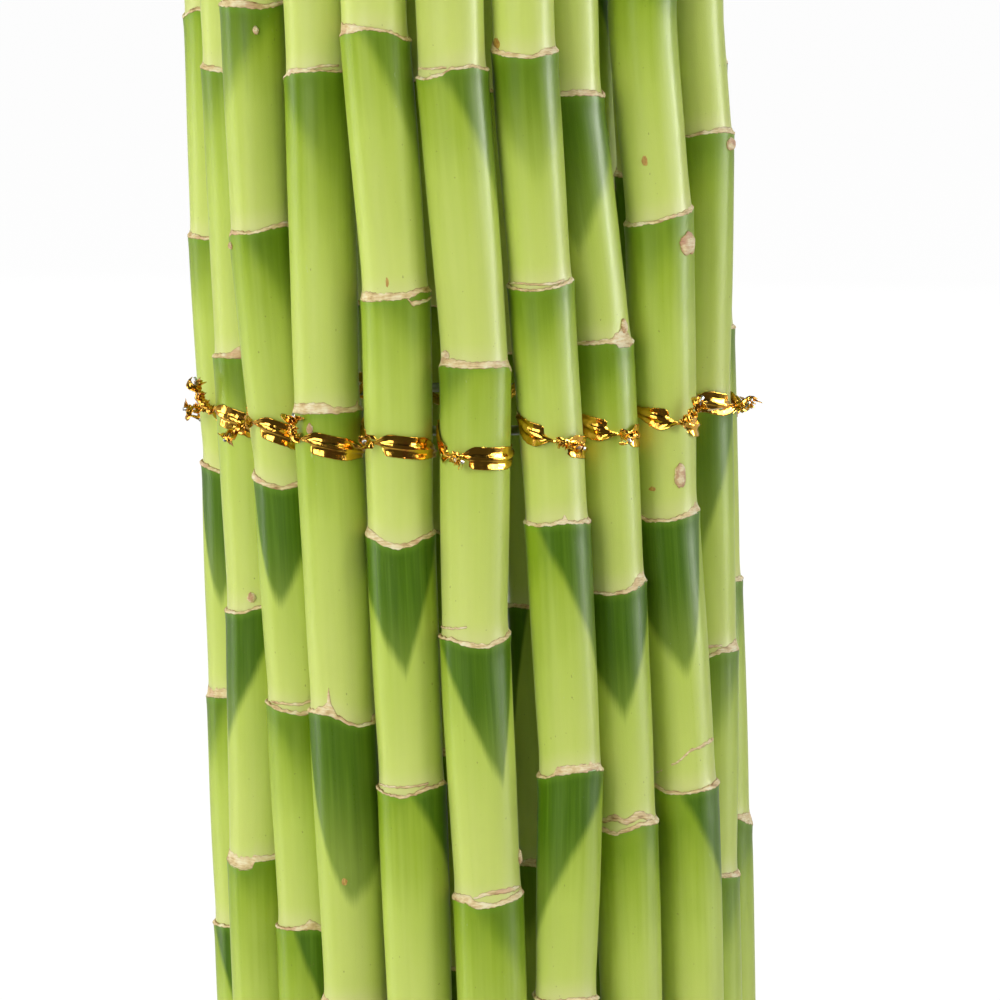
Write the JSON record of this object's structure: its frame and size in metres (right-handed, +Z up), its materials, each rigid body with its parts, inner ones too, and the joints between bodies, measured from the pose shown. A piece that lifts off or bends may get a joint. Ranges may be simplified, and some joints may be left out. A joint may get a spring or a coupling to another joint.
{
  "type": "lucky bamboo bundle",
  "caption": "Upright hollow ring of cut green lucky bamboo canes, each wired to an inner hoop with a gold foil twist tie, with leafy shoots at the tops.",
  "frame": {"origin": "on the surface the canes stand on, under the middle of the whole bundle", "axes": "+Z up along the canes; -Y towards the viewer; +X to the viewer's right"},
  "size_m": [0.2402, 0.246, 0.3495],
  "materials": {
    "cane": "satin green skin, paler above each knuckle, with tan scar rings",
    "leaf": "waxy mid-green leaf with fine lengthwise veins",
    "foil": "crinkled bright gold foil",
    "hoop": "plain drawn wire"
  },
  "bodies": {
    "root": {"cane_01": "cane", "cane_02": "cane", "cane_03": "cane", "cane_04": "cane", "cane_05": "cane", "cane_06": "cane", "cane_07": "cane", "cane_08": "cane", "cane_09": "cane", "cane_10": "cane", "cane_11": "cane", "cane_12": "cane", "cane_13": "cane", "cane_14": "cane", "cane_15": "cane", "cane_16": "cane", "cane_17": "cane", "cane_18": "cane", "cane_19": "cane", "cane_20": "cane", "twist_tie_01": "foil", "twist_tie_02": "foil", "twist_tie_03": "foil", "twist_tie_04": "foil", "twist_tie_05": "foil", "twist_tie_06": "foil", "twist_tie_07": "foil", "twist_tie_08": "foil", "twist_tie_09": "foil", "twist_tie_10": "foil", "twist_tie_11": "foil", "twist_tie_12": "foil", "twist_tie_13": "foil", "twist_tie_14": "foil", "twist_tie_15": "foil", "twist_tie_16": "foil", "twist_tie_17": "foil", "twist_tie_18": "foil", "twist_tie_19": "foil", "twist_tie_20": "foil", "leafy_shoot_01": "leaf", "leafy_shoot_03": "leaf", "leafy_shoot_05": "leaf", "leafy_shoot_07": "leaf", "leafy_shoot_09": "leaf", "leafy_shoot_11": "leaf", "leafy_shoot_13": "leaf", "leafy_shoot_15": "leaf", "leafy_shoot_17": "leaf", "leafy_shoot_19": "leaf", "inner_hoop": "hoop"}
  },
  "joints": []
}
